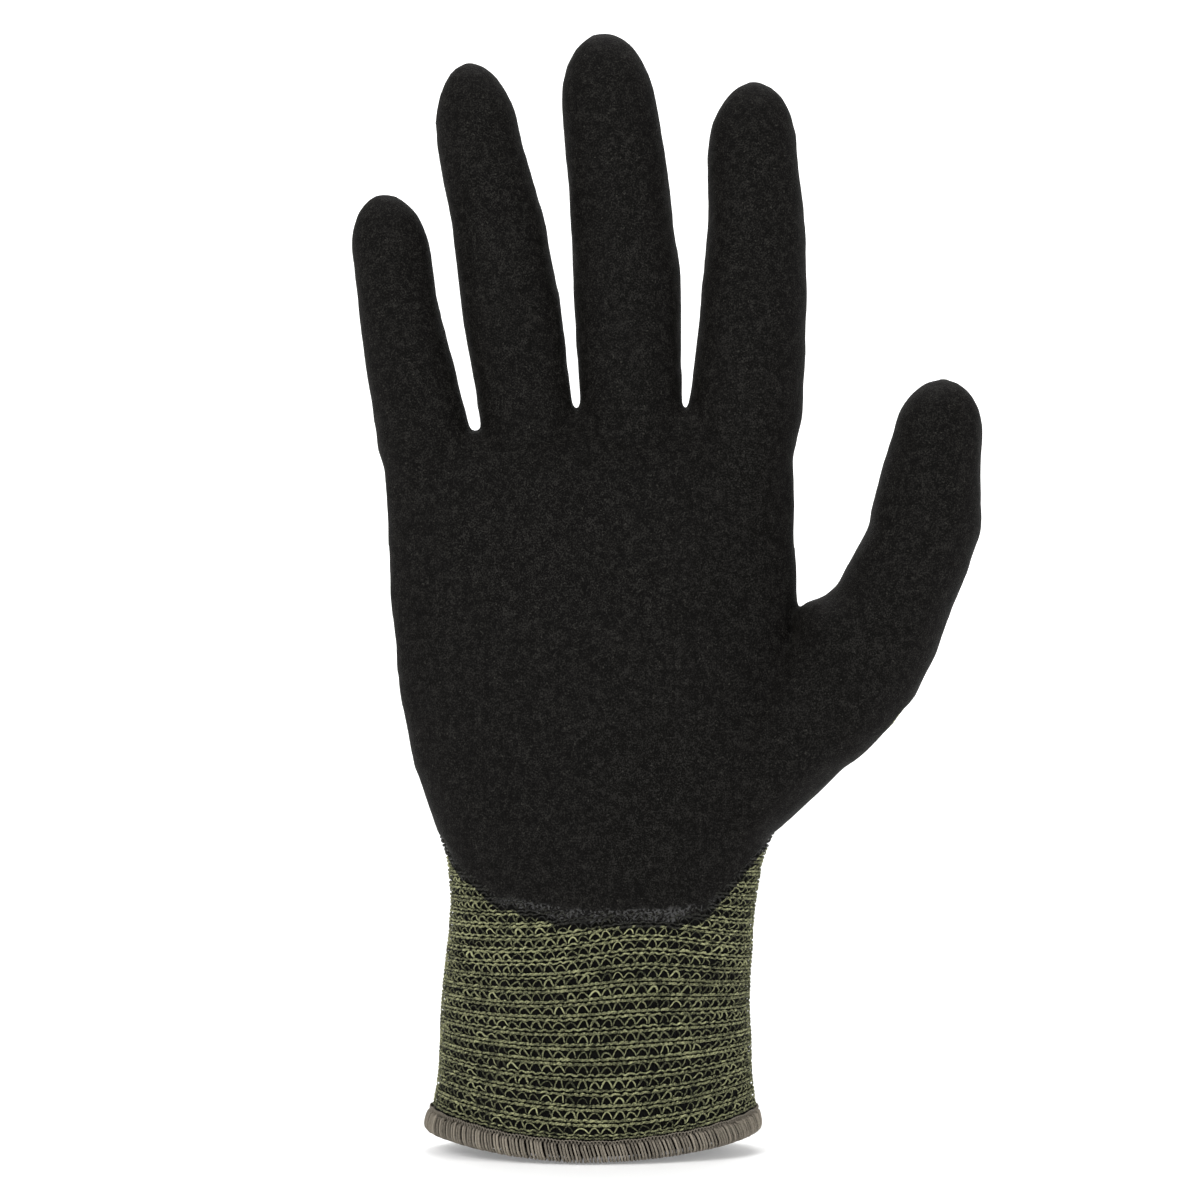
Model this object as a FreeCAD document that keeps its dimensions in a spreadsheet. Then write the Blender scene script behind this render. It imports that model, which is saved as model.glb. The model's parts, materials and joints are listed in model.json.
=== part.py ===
"""Cut resistant work glove for the right hand: a seamless knitted liner whose palm is dipped in foam nitrile.

The glove stands on its open cuff with the fingers up along +Z, the palm facing -Y and the thumb at +X.
The origin is the centre of the wrist opening, in the plane of the hem's lower edge. Lengths are in
millimetres and angles in degrees. The shape is that of the glove on a hand, so every part is a shell.

A hand bends the glove at the wrist, at three places on each finger and at two on the thumb. The liner and
the coating are cut there into sleeves that don't touch at any bend, and a wedge of fabric fills each fold.
"""
import FreeCAD, Part
import os

doc = FreeCAD.newDocument("cut_resistant_glove")
sheet = doc.addObject("Spreadsheet::Sheet", "sizes")

# ---------------------------------------------------------------- driving dimensions

COMMON_SIZES = {
    "coat": 0.6,               # thickness of the nitrile foam
    "knit": 1.1,               # thickness of the liner
    "gap": 0.05,               # play left between the liner and what lies on it
    "slit": 0.15,              # half of the slit between two sleeves on the back of a bend
    "flatness": 0.88,          # a finger's depth as a share of its width
    "hinge_forward": 3.0,      # a finger's bending axis lies this far to the palm side of its centre
    "coat_reach": 3.0,         # the coating wraps round the sides, this far past the centre
    "root_half": 37.0,         # half angle of the fold at a finger's root
    "middle_half": 42.0,       # the same at its middle joint
    "tip_half": 24.5,          # the same at its tip joint
    "wrist_half": 22.0,        # the same at the wrist, front and back
    "wrist_z": 42.0,           # height of the wrist's bending axis
    "cuff_height": 41.85,      # the cuff's knit reaches up to the wrist
    "cuff_foot": 1.0,          # the knit's raw edge, inside the overlock stitch
    "hem_height": 4.6,         # height of the overlock stitch
    "hem_thread": 0.9,         # thickness of the overlock thread on each side of the knit
    "elastic_pitch": 3.2,      # distance between two elastic yarns laid into the cuff
    "elastic_height": 0.6,
    "elastic_depth": 0.4,
    "elastic_foot": 6.0,       # height of the lowest one
    "coating_edge_z": 48.0,    # lowest point of the coating, in the middle of the wrist
    "coating_edge_radius": 41.0,
    "coating_side_z": 66.0,    # above this height the coating reaches both sides
    "thumb_y": -4.0,           # the thumb stands in front of the palm's middle plane
    "thumb_roll": -22.0,       # the thumb bends across the palm: its axis is turned by this angle
    "thumb_base_half": 24.5,
    "thumb_tip_half": 37.0,
    "tool": 45.0,              # half size of the blocks that trim the sleeves
}

# Each finger's base point, between its two crotches, then its lean to the right, its length from there and
# its bends and widths, measured along it.
FINGER_SIZES = {
    "index": {"x": 32.6, "z": 161.2, "lean": 2.5, "long": 72.9, "root": 8, "middle": 25, "tip": 48,
              "base_wide": 24.6, "middle_wide": 23.4, "end_wide": 19.6, "dome": 13.0},
    "middle": {"x": 8.1, "z": 162.7, "lean": -4.4, "long": 82.4, "root": 8, "middle": 28, "tip": 55,
               "base_wide": 21.9, "middle_wide": 23.9, "end_wide": 21.0, "dome": 14.0},
    "ring": {"x": -15.2, "z": 160.2, "lean": -9.0, "long": 79.0, "root": 8, "middle": 26, "tip": 52,
             "base_wide": 20.4, "middle_wide": 22.4, "end_wide": 18.4, "dome": 13.0},
    "little": {"x": -36.5, "z": 155.3, "lean": -10.4, "long": 54.9, "root": 8, "middle": 20.5, "tip": 37,
               "base_wide": 20.6, "middle_wide": 19.2, "end_wide": 16.6, "dome": 11.0},
}

# The thumb's sections, from the ball of the thumb to where its tip starts to round: centre, lean and size.
THUMB_SIZES = {
    "ball": {"x": 25.0, "z": 62.0, "lean": 38, "wide": 17.0, "deep": 16.0},
    "heel": {"x": 44.6, "z": 90.3, "lean": 36, "wide": 26.6, "deep": 26.0},
    "web": {"x": 59.4, "z": 110.9, "lean": 28, "wide": 29.0, "deep": 25.5},
    "base": {"x": 63.2, "z": 118.0, "lean": 28, "wide": 26.6, "deep": 24.6},
    "knuckle": {"x": 73.0, "z": 136.3, "lean": 18.5, "wide": 24.6, "deep": 22.6},
    "pad": {"x": 75.2, "z": 149.0, "lean": 9, "wide": 21.6, "deep": 19.8},
    "end": {"x": 76.3, "z": 157.0, "lean": 9, "wide": 20.0, "deep": 18.0},
}
THUMB_DOME = 10.8

# The hand's and the cuff's level sections: left edge, right edge and full depth at each height.
PALM_SIZES = {
    "wrist": {"z": 42.15, "left": -33.0, "right": 35.3, "deep": 45.0},
    "heel": {"z": 54.0, "left": -31.8, "right": 36.6, "deep": 43.0},
    "low": {"z": 66.0, "left": -33.5, "right": 39.0, "deep": 40.0},
    "thenar": {"z": 84.0, "left": -40.0, "right": 45.5, "deep": 35.0},
    "centre": {"z": 105.0, "left": -43.8, "right": 46.0, "deep": 32.0},
    "high": {"z": 130.0, "left": -45.6, "right": 44.4, "deep": 29.6},
    "knuckles": {"z": 148.0, "left": -46.6, "right": 44.4, "deep": 27.2},
    "crotch": {"z": 156.0, "left": -45.0, "right": 43.0, "deep": 22.0},
    "top": {"z": 160.0, "left": -38.0, "right": 38.0, "deep": 14.0},
}
CUFF_SIZES = {
    "rim": {"z": 0.0, "left": -37.4, "right": 37.2, "deep": 50.0},
    "flare": {"z": 10.0, "left": -35.9, "right": 35.9, "deep": 47.5},
    "waist": {"z": 28.0, "left": -34.8, "right": 34.9, "deep": 46.0},
    "neck": {"z": 42.0, "left": -33.0, "right": 35.3, "deep": 45.0},
}

sizes = dict(COMMON_SIZES, thumb_dome=THUMB_DOME)
for group, table in (("", FINGER_SIZES), ("thumb_", THUMB_SIZES), ("palm_", PALM_SIZES), ("cuff_", CUFF_SIZES)):
    for place, values in table.items():
        for name, value in values.items():
            sizes[f"{group}{place}_{name}"] = value
for row, (alias, value) in enumerate(sizes.items(), start=1):
    sheet.set(f"A{row}", alias.replace("_", " "))
    sheet.set(f"B{row}", str(value))
    sheet.setAlias(f"B{row}", alias)
doc.recompute()

# ---------------------------------------------------------------- building blocks

# Depth below the outer skin, as expressions of the sheet, of the four faces that the layers lie between.
SKIN = "0"
COAT_BED = "sizes.coat"
KNIT_FACE = "(sizes.coat + sizes.gap)"
HAND_FACE = "(sizes.coat + sizes.gap + sizes.knit)"

sub_parts = []


def add(kind, label, **values):
    """Adds one object, with each value bound to the sheet by an expression, or set if it isn't text."""
    item = doc.addObject(kind, label)
    item.Label = label
    for name, value in values.items():
        if isinstance(value, str):
            item.setExpression(name, value)
        else:
            setattr(item, name, value)
    return item


def keep(item, label):
    """Names a finished sub-part, so that it is written to its own file."""
    item.Label = label
    sub_parts.append(item)
    return item


def section(x, y, z, lean, half_width, half_depth):
    """The expressions of one elliptical section: its centre, its lean to the right and its half axes."""
    return {"place": f"placement(vector({x}; {y}; {z}); rotationy({lean}))",
            "width": half_width, "depth": half_depth}


def loft(label, sections, inset):
    """A solid skinned over elliptical sections, each drawn in by the inset."""
    rings = []
    for number, ring in enumerate(sections):
        rings.append(add("Part::Ellipse", f"{label}_ring_{number}",
                         MajorRadius=f"({ring['width']} - {inset}) * 1 mm",
                         MinorRadius=f"({ring['depth']} - {inset}) * 1 mm",
                         Placement=ring["place"]))
    return add("Part::Loft", label, Sections=rings, Solid=True, Ruled=False)


def domed(label, sections, dome, inset):
    """A loft closed by half an ellipsoid on its last section."""
    shaft = loft(f"{label}_shaft", sections, inset)
    last = sections[-1]
    cap = add("Part::Ellipsoid", f"{label}_cap",
              Radius1=f"({dome} - {inset}) * 1 mm",
              Radius2=f"({last['width']} - {inset}) * 1 mm",
              Radius3=f"({last['depth']} - {inset}) * 1 mm",
              Placement=last["place"])
    cap.Angle1 = 0
    cap.Angle2 = 90
    return add("Part::Fuse", label, Base=shaft, Tool=cap)


def block(label, place, low, high, top=None):
    """A block between two corners given in the frame of a bend; top narrows or widens its +Y face in Z."""
    top = top or (low[2], high[2])
    return add("Part::Wedge", label, Placement=place,
               Xmin=f"({low[0]}) * 1 mm", Xmax=f"({high[0]}) * 1 mm",
               X2min=f"({low[0]}) * 1 mm", X2max=f"({high[0]}) * 1 mm",
               Ymin=f"({low[1]}) * 1 mm", Ymax=f"({high[1]}) * 1 mm",
               Zmin=f"({low[2]}) * 1 mm", Zmax=f"({high[2]}) * 1 mm",
               Z2min=f"({top[0]}) * 1 mm", Z2max=f"({top[1]}) * 1 mm")


def shell(label, outer, inner):
    return add("Part::Cut", label, Base=outer, Tool=inner)


def common(label, *shapes):
    return add("Part::MultiCommon", label, Shapes=list(shapes))


def union(label, *shapes):
    return add("Part::MultiFuse", label, Shapes=list(shapes))


class Bend:
    """One bend of the glove: its axis runs along X of its own frame and the limb goes on along Z."""

    def __init__(self, name, x, y, z, lean, half_angle, half_width, half_depth, roll="0", forward=None):
        self.name = name
        forward = forward or "sizes.hinge_forward"
        self.place = f"placement(vector({x}; {y}; {z}); rotationy({lean}) * rotationz({roll}))"
        reach = f"({half_depth} + 2)"
        side = f"({half_width} + 1)"
        slope = f"tan({half_angle})"
        spread = f"({reach} - {forward}) * {slope}"
        apex = 0.6
        self.notch = block(f"{name}_notch", self.place,
                           (f"-{side}", f"-{reach}", f"-{spread}"), (side, f"-{forward}", spread), ("0", "0"))
        self.filling = block(f"{name}_filling", self.place,
                             (f"-{side}", f"-{reach}", f"-({spread} - sizes.slit)"),
                             (side, f"-({forward} + {apex})", f"{spread} - sizes.slit"),
                             (f"-({apex} * {slope} - sizes.slit)", f"{apex} * {slope} - sizes.slit"))
        far = "sizes.tool"
        self.above = block(f"{name}_above", self.place,
                           (f"-{far}", f"-{far}", "sizes.slit"), (far, far, f"2 * {far}"))
        self.below = block(f"{name}_below", self.place,
                           (f"-{far}", f"-{far}", f"-2 * {far}"), (far, far, "-sizes.slit"))


# ---------------------------------------------------------------- the four fingers


def finger_section(finger, along, wide):
    """A section across a finger, at a distance along it from its base point."""
    return section(f"sizes.{finger}_x + ({along}) * sin(sizes.{finger}_lean)", "0",
                   f"sizes.{finger}_z + ({along}) * cos(sizes.{finger}_lean)", f"sizes.{finger}_lean",
                   f"{wide} / 2", f"{wide} / 2 * sizes.flatness")


def finger_bend(finger, joint):
    along = f"sizes.{finger}_{joint}"
    wide = f"sizes.{finger}_middle_wide / 2"
    return Bend(f"{finger}_{joint}",
                f"sizes.{finger}_x + {along} * sin(sizes.{finger}_lean)", "0",
                f"sizes.{finger}_z + {along} * cos(sizes.{finger}_lean)",
                f"sizes.{finger}_lean", f"sizes.{joint}_half", wide, f"{wide} * sizes.flatness")


def layers(limb, make_form):
    """The knitted tube and the coating's tube of one limb, from the four nested forms it lies between."""
    skin = make_form(f"{limb}_skin", SKIN)
    coat_bed = make_form(f"{limb}_coat_bed", COAT_BED)
    knit_face = make_form(f"{limb}_knit_face", KNIT_FACE)
    hand_face = make_form(f"{limb}_hand_face", HAND_FACE)
    return (shell(f"{limb}_knit_tube", knit_face, hand_face),
            shell(f"{limb}_coat_tube", skin, coat_bed),
            shell(f"{limb}_whole_tube", skin, hand_face))


def phalanx(limb, name, tube, coat, lower, upper, dipped):
    """One stiff stretch of a finger or thumb: its knitted sleeve and the coating on it."""
    bounds = [lower.above] + ([upper.below] if upper else [])
    notches = union(f"{limb}_{name}_notches", lower.notch, upper.notch) if upper else lower.notch
    for layer, body, extra in (("knit", tube, []), ("coating", coat, [dipped])):
        stretch = common(f"{limb}_{name}_{layer}_stretch", body, *bounds, *extra)
        keep(add("Part::Cut", f"{limb}_{name}_{layer}_cut", Base=stretch, Tool=notches),
             f"{limb}_{name}_{layer}")


def fold(limb, joint, tube, bend):
    """The wedge of fabric that crumples on the palm side of a bend."""
    keep(common(f"{limb}_{joint}_wedge", tube, bend.filling), f"{limb}_{joint}_fold")


root_bends = {}
for finger in FINGER_SIZES:
    stations = [finger_section(finger, "0", f"sizes.{finger}_base_wide"),
                finger_section(finger, f"sizes.{finger}_middle", f"sizes.{finger}_middle_wide"),
                finger_section(finger, f"sizes.{finger}_long - sizes.{finger}_dome", f"sizes.{finger}_end_wide")]
    knit_tube, coat_tube, whole_tube = layers(
        finger, lambda label, inset: domed(label, stations, f"sizes.{finger}_dome", inset))
    root, middle, tip = (finger_bend(finger, joint) for joint in ("root", "middle", "tip"))
    root_bends[finger] = root

    # The coating covers the palm side and both sides, and goes all round the fingertip.
    far = "sizes.tool"
    palm_side = block(f"{finger}_palm_side", root.place,
                      (f"-{far}", f"-{far}", "0"), (far, "sizes.coat_reach", f"3 * {far}"))
    end_start = f"sizes.{finger}_long - sizes.{finger}_dome - sizes.{finger}_root"
    end_all_round = block(f"{finger}_end_all_round", root.place,
                          (f"-{far}", f"-{far}", end_start), (far, far, f"3 * {far}"))
    dipped = union(f"{finger}_dipped", palm_side, end_all_round)

    phalanx(finger, "lower", knit_tube, coat_tube, root, middle, dipped)
    phalanx(finger, "centre", knit_tube, coat_tube, middle, tip, dipped)
    phalanx(finger, "end", knit_tube, coat_tube, tip, None, dipped)
    fold(finger, "middle", whole_tube, middle)
    fold(finger, "tip", whole_tube, tip)

# ---------------------------------------------------------------- the thumb


def thumb_section(place):
    value = f"sizes.thumb_{place}"
    return section(f"{value}_x", "sizes.thumb_y", f"{value}_z", f"{value}_lean",
                   f"{value}_wide / 2", f"{value}_deep / 2")


def thumb_bend(place, half_angle):
    value = f"sizes.thumb_{place}"
    return Bend(f"thumb_{place}", f"{value}_x", "sizes.thumb_y", f"{value}_z", f"{value}_lean",
                half_angle, f"{value}_wide / 2", f"{value}_wide / 2", roll="sizes.thumb_roll")


thumb_stations = [thumb_section(place) for place in ("web", "base", "knuckle", "pad", "end")]
thumb_knit, thumb_coat, thumb_whole = layers(
    "thumb", lambda label, inset: domed(label, thumb_stations, "sizes.thumb_dome", inset))
thumb_base = thumb_bend("base", "sizes.thumb_base_half")
thumb_knuckle = thumb_bend("knuckle", "sizes.thumb_tip_half")

# The thumb's bare strip is on its nail side, away from the palm.
thumb_dipped = union(
    "thumb_dipped",
    block("thumb_palm_side", thumb_base.place, ("-sizes.tool", "-sizes.tool", "-sizes.tool"),
          ("sizes.tool", "2 * sizes.coat_reach", "3 * sizes.tool")),
    block("thumb_end_all_round", thumb_knuckle.place, ("-sizes.tool", "-sizes.tool", "16"),
          ("sizes.tool", "sizes.tool", "sizes.tool")))
phalanx("thumb", "lower", thumb_knit, thumb_coat, thumb_base, thumb_knuckle, thumb_dipped)
phalanx("thumb", "end", thumb_knit, thumb_coat, thumb_knuckle, None, thumb_dipped)
fold("thumb", "tip", thumb_whole, thumb_knuckle)

# ---------------------------------------------------------------- the hand between wrist and finger roots


def level_section(group, place):
    """A level section of the hand or the cuff, between its left and right edges."""
    value = f"sizes.{group}_{place}"
    return section(f"({value}_left + {value}_right) / 2", "0", f"{value}_z", "0",
                   f"({value}_right - {value}_left) / 2", f"{value}_deep / 2")


def hand_form(label, inset):
    """The hand as one solid: the palm, four finger stubs up to the roots, and the ball of the thumb."""
    palm = loft(f"{label}_palm", [level_section("palm", place) for place in PALM_SIZES], inset)
    stubs = []
    for finger in FINGER_SIZES:
        wide = f"sizes.{finger}_base_wide"
        ends = ("-14", "0", f"sizes.{finger}_root - sizes.slit")
        stubs.append(loft(f"{label}_{finger}_stub", [finger_section(finger, end, wide) for end in ends], inset))
    ball = loft(f"{label}_ball", [thumb_section(place) for place in ("ball", "heel", "web", "base")], inset)
    return union(label, palm, ball, *stubs)


hand_knit, hand_coat, hand_whole = layers("hand", hand_form)
wrist_reach = "(sizes.cuff_neck_deep / 2 + 3)"
wrist_spread = f"{wrist_reach} * tan(sizes.wrist_half)"
wrist_sides = {"front": "placement(vector(0; 0; sizes.wrist_z); rotationz(0))",
               "back": "placement(vector(0; 0; sizes.wrist_z); rotationz(180))"}
wrist_notch = union("wrist_notch", *[
    block(f"wrist_notch_{side}", place, ("-sizes.tool", f"-{wrist_reach}", f"-{wrist_spread}"),
          ("sizes.tool", "0", wrist_spread), ("0", "0")) for side, place in wrist_sides.items()])

thumb_trim = block("thumb_trim", thumb_base.place, ("-16", "-16", "-sizes.slit"), ("16", "16", "4"))
bend_notches = union("hand_notches", wrist_notch, thumb_base.notch, thumb_trim,
                     *[bend.notch for bend in root_bends.values()])
keep(add("Part::Cut", "hand_knit_cut", Base=hand_knit, Tool=bend_notches), "hand_knit")

# The dip line sags across the wrist and climbs to both sides; the back of the hand stays bare.
dip_side = block("dip_side", wrist_sides["front"],
                 ("-2 * sizes.tool", "-sizes.tool", "sizes.coating_side_z - sizes.wrist_z"),
                 ("2.5 * sizes.tool", "sizes.coat_reach", "4 * sizes.tool"))
dip_bow = add("Part::Cylinder", "dip_bow", Radius="sizes.coating_edge_radius * 1 mm", Height="2 * sizes.tool * 1 mm",
              Placement="placement(vector(1; sizes.coat_reach; sizes.coating_edge_z"
                        " + sizes.coating_edge_radius); rotation(vector(1; 0; 0); 90))")
dip = union("dip", dip_side, dip_bow)
hand_dipped = common("hand_dipped", hand_coat, dip)
keep(add("Part::Cut", "hand_coating_cut", Base=hand_dipped, Tool=bend_notches), "hand_coating")

for finger, bend in root_bends.items():
    wide = f"sizes.{finger}_base_wide"
    ends = ("-8", "0", f"sizes.{finger}_middle")
    widths = (wide, wide, f"sizes.{finger}_middle_wide")
    stations = [finger_section(finger, end, width) for end, width in zip(ends, widths)]
    root_tube = shell(f"{finger}_root_tube", loft(f"{finger}_root_skin", stations, SKIN),
                      loft(f"{finger}_root_hand", stations, HAND_FACE))
    fold(finger, "root", root_tube, bend)
fold("thumb", "base", shell("thumb_base_tube", loft("thumb_base_skin", thumb_stations[:3], SKIN),
                            loft("thumb_base_hand", thumb_stations[:3], HAND_FACE)), thumb_base)

# ---------------------------------------------------------------- the wrist and the cuff

neck = [level_section("cuff", "waist"), level_section("cuff", "neck"), level_section("palm", "heel")]
neck_tube = shell("neck_tube", loft("neck_face", neck, KNIT_FACE), loft("neck_hand", neck, HAND_FACE))
wrist_filling = union("wrist_filling", *[
    block(f"wrist_filling_{side}", place,
          ("-sizes.tool", f"-{wrist_reach}", f"-({wrist_spread} - sizes.slit)"),
          ("sizes.tool", "-1", f"{wrist_spread} - sizes.slit"), ("-0.2", "0.2"))
    for side, place in wrist_sides.items()])
keep(common("wrist_wedges", neck_tube, wrist_filling), "wrist_fold")


def cuff_form(label, inset, foot, top):
    """The cuff as one solid between two heights, drawn in by the inset."""
    form = loft(f"{label}_full", [level_section("cuff", place) for place in CUFF_SIZES], inset)
    far = "2 * sizes.tool"
    return common(label, form, block(f"{label}_range", "placement(vector(0; 0; 0); rotationy(0))",
                                     (f"-{far}", f"-{far}", foot), (far, far, top)))


cuff_tube = shell("cuff_tube", cuff_form("cuff_face", KNIT_FACE, "sizes.cuff_foot", "sizes.cuff_height"),
                  cuff_form("cuff_inside", HAND_FACE, "-1", "sizes.wrist_z"))
keep(add("Part::Cut", "cuff_cut", Base=cuff_tube, Tool=wrist_notch), "cuff_knit")

# The overlock stitch wraps the knit's raw edge: outside, underneath and inside.
stitch_outside = f"({KNIT_FACE} - sizes.gap - sizes.hem_thread)"
stitch_inside = f"({HAND_FACE} + sizes.gap + sizes.hem_thread)"
stitch_ring = shell("stitch_ring", cuff_form("stitch_outer", stitch_outside, "0", "sizes.hem_height"),
                    cuff_form("stitch_inner", stitch_inside, "-1", "sizes.hem_height + 1"))
stitch_slot = shell("stitch_slot",
                    cuff_form("slot_outer", f"({KNIT_FACE} - sizes.gap)", "sizes.cuff_foot - sizes.gap",
                              "sizes.hem_height + 1"),
                    cuff_form("slot_inner", f"({HAND_FACE} + sizes.gap)", "0", "sizes.hem_height + 2"))
keep(shell("stitch_cut", stitch_ring, stitch_slot), "hem_overlock_thread")

# Elastic yarns lie against the inside of the cuff's knit, one in each course that closes the cuff.
ELASTIC_YARNS = 9
elastic_tube = shell("elastic_tube", cuff_form("elastic_outer", f"({HAND_FACE} + sizes.gap)", "1", "sizes.wrist_z"),
                     cuff_form("elastic_inner", f"({HAND_FACE} + sizes.gap + sizes.elastic_depth)", "0",
                               "sizes.wrist_z + 1"))
courses = []
for number in range(ELASTIC_YARNS):
    low = f"sizes.elastic_foot + {number} * sizes.elastic_pitch"
    courses.append(block(f"course_{number}", "placement(vector(0; 0; 0); rotationy(0))",
                         ("-sizes.tool", "-sizes.tool", low),
                         ("sizes.tool", "sizes.tool", f"{low} + sizes.elastic_height")))
keep(common("elastic_rings", elastic_tube, add("Part::Compound", "all_courses", Links=courses)),
     "cuff_elastic_yarns")

# ---------------------------------------------------------------- checks and files

doc.recompute()
for item in doc.Objects:
    if "Invalid" in item.State or "Error" in item.State:
        raise RuntimeError(f"{item.Label} failed: {item.State}")
os.makedirs("parts", exist_ok=True)
for item in sub_parts:
    if item.Shape.isNull() or not item.Shape.isValid() or not item.Shape.Solids:
        raise RuntimeError(f"{item.Label} has no valid solid")
    item.Shape.exportStep(f"parts/{item.Label}.step")
    print(f"{item.Label:24} solids {len(item.Shape.Solids)}  volume {item.Shape.Volume:10.1f} mm3")
print(len(sub_parts), "sub-parts")
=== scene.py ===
"""Cut resistant work glove for the right hand, in metres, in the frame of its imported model."""
import bmesh
import bpy
import json
import math
import numpy as np
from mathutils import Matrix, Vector
from mathutils.bvhtree import BVHTree


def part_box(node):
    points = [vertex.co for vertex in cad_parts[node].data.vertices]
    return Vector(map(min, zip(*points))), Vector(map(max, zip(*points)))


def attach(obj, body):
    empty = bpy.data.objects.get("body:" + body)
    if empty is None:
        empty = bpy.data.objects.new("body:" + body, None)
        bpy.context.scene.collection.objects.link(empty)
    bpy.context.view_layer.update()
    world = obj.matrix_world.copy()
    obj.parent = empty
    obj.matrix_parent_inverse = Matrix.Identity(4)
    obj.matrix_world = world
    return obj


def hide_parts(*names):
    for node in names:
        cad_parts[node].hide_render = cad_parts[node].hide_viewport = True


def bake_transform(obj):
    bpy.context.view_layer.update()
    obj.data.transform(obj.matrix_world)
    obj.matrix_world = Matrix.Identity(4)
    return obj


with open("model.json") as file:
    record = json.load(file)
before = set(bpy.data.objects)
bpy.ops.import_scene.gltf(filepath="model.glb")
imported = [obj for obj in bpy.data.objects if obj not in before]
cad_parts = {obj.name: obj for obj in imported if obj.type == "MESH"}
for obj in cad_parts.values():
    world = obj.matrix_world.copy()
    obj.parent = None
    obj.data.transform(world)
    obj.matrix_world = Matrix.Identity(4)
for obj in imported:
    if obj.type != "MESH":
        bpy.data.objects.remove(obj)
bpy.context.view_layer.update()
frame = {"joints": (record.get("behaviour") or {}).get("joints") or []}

# ============================================================ The former
# The glove is knitted, then pulled over a hand-shaped former and dipped. The former is built first, because
# every layer takes its shape from it: palm, ball of the thumb, thumb and four fingers, melted into one
# smooth hand. It is the outside of the finished glove, and it is thrown away at the end.

MM = 0.001
SLIM = 0.7
FINGERS = ("index", "middle", "ring", "little")
joints = {joint["name"]: Vector(joint["pos_m"]) for joint in frame["joints"]}


def deselect():
    for item in bpy.context.selected_objects:
        item.select_set(False)


def activate(item):
    deselect()
    item.select_set(True)
    bpy.context.view_layer.objects.active = item


def modify(item, kind, **settings):
    """Adds a modifier with its settings and applies it."""
    activate(item)
    modifier = item.modifiers.new(kind.title(), kind)
    for name, value in settings.items():
        setattr(modifier, name, value)
    bpy.ops.object.modifier_apply(modifier=modifier.name)


def ring_form(name, rings):
    """A closed form: one disc pushed up through (height, left, right, depth) rings, all in millimetres. It is
    slimmer than asked by SLIM all round, which the joined former gets back, so that the gaps stay open."""
    deselect()
    rings = [(height, left + SLIM, right - SLIM, depth - 2 * SLIM) for height, left, right, depth in rings]
    height, left, right, depth = rings[0]
    bpy.ops.mesh.primitive_circle_add(vertices=56, radius=1, fill_type="NGON", location=(0, 0, 0))
    form = bpy.context.object
    form.name = name
    bpy.ops.object.mode_set(mode="EDIT")
    bpy.ops.transform.resize(value=((right - left) / 2 * MM, depth / 2 * MM, 1))
    bpy.ops.transform.translate(value=((right + left) / 2 * MM, 0, height * MM))
    for above in rings[1:]:
        centre = (left + right) / 2
        step = ((above[1] + above[2]) / 2 - centre, 0, above[0] - height)
        bpy.ops.mesh.extrude_region_move(TRANSFORM_OT_translate={"value": [value * MM for value in step]})
        wider = (above[2] - above[1]) / (right - left)
        bpy.ops.transform.resize(value=(wider, above[3] / depth, 1),
                                 center_override=((centre + step[0]) * MM, 0, above[0] * MM))
        height, left, right, depth = above
    bpy.ops.mesh.select_all(action="SELECT")
    bpy.ops.mesh.normals_make_consistent(inside=False)
    bpy.ops.object.mode_set(mode="OBJECT")
    return form


def limb(name, base, lean, stations, dome):
    """A finger: rings of (distance, width, depth, shift) along it, then a rounded tip of the length dome."""
    rings = [(along, shift - wide / 2, shift + wide / 2, deep) for along, wide, deep, shift in stations]
    height, left, right, deep = rings[-1]
    middle, half = (left + right) / 2, (right - left) / 2
    for angle in (18, 36, 52, 65, 76, 84):
        across, up = math.cos(math.radians(angle)), math.sin(math.radians(angle))
        rings.append((height + dome * up, middle - half * across, middle + half * across, deep * across))
    form = ring_form(name, rings)
    form.rotation_euler = (0, lean, 0)
    form.location = base
    bpy.ops.object.transform_apply(location=True, rotation=True, scale=True)
    return form


class Limb:
    """Where one finger or thumb stands: its base point, the lean of its middle line and its width there."""

    def __init__(self, base, lean, width):
        self.base = np.array(base)
        self.width = width
        self.along = np.array((math.sin(lean), 0, math.cos(lean)))
        self.across = np.array((math.cos(lean), 0, -math.sin(lean)))

    def at(self, distance):
        return self.base + self.along * distance * MM

    def distance(self, points):
        """How far along the limb each point lies, in millimetres from its base."""
        return (points - self.base) @ self.along / MM

    def offset(self, points):
        """How far to the right of the middle line each point lies, in millimetres."""
        return (points - self.base) @ self.across / MM


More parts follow.
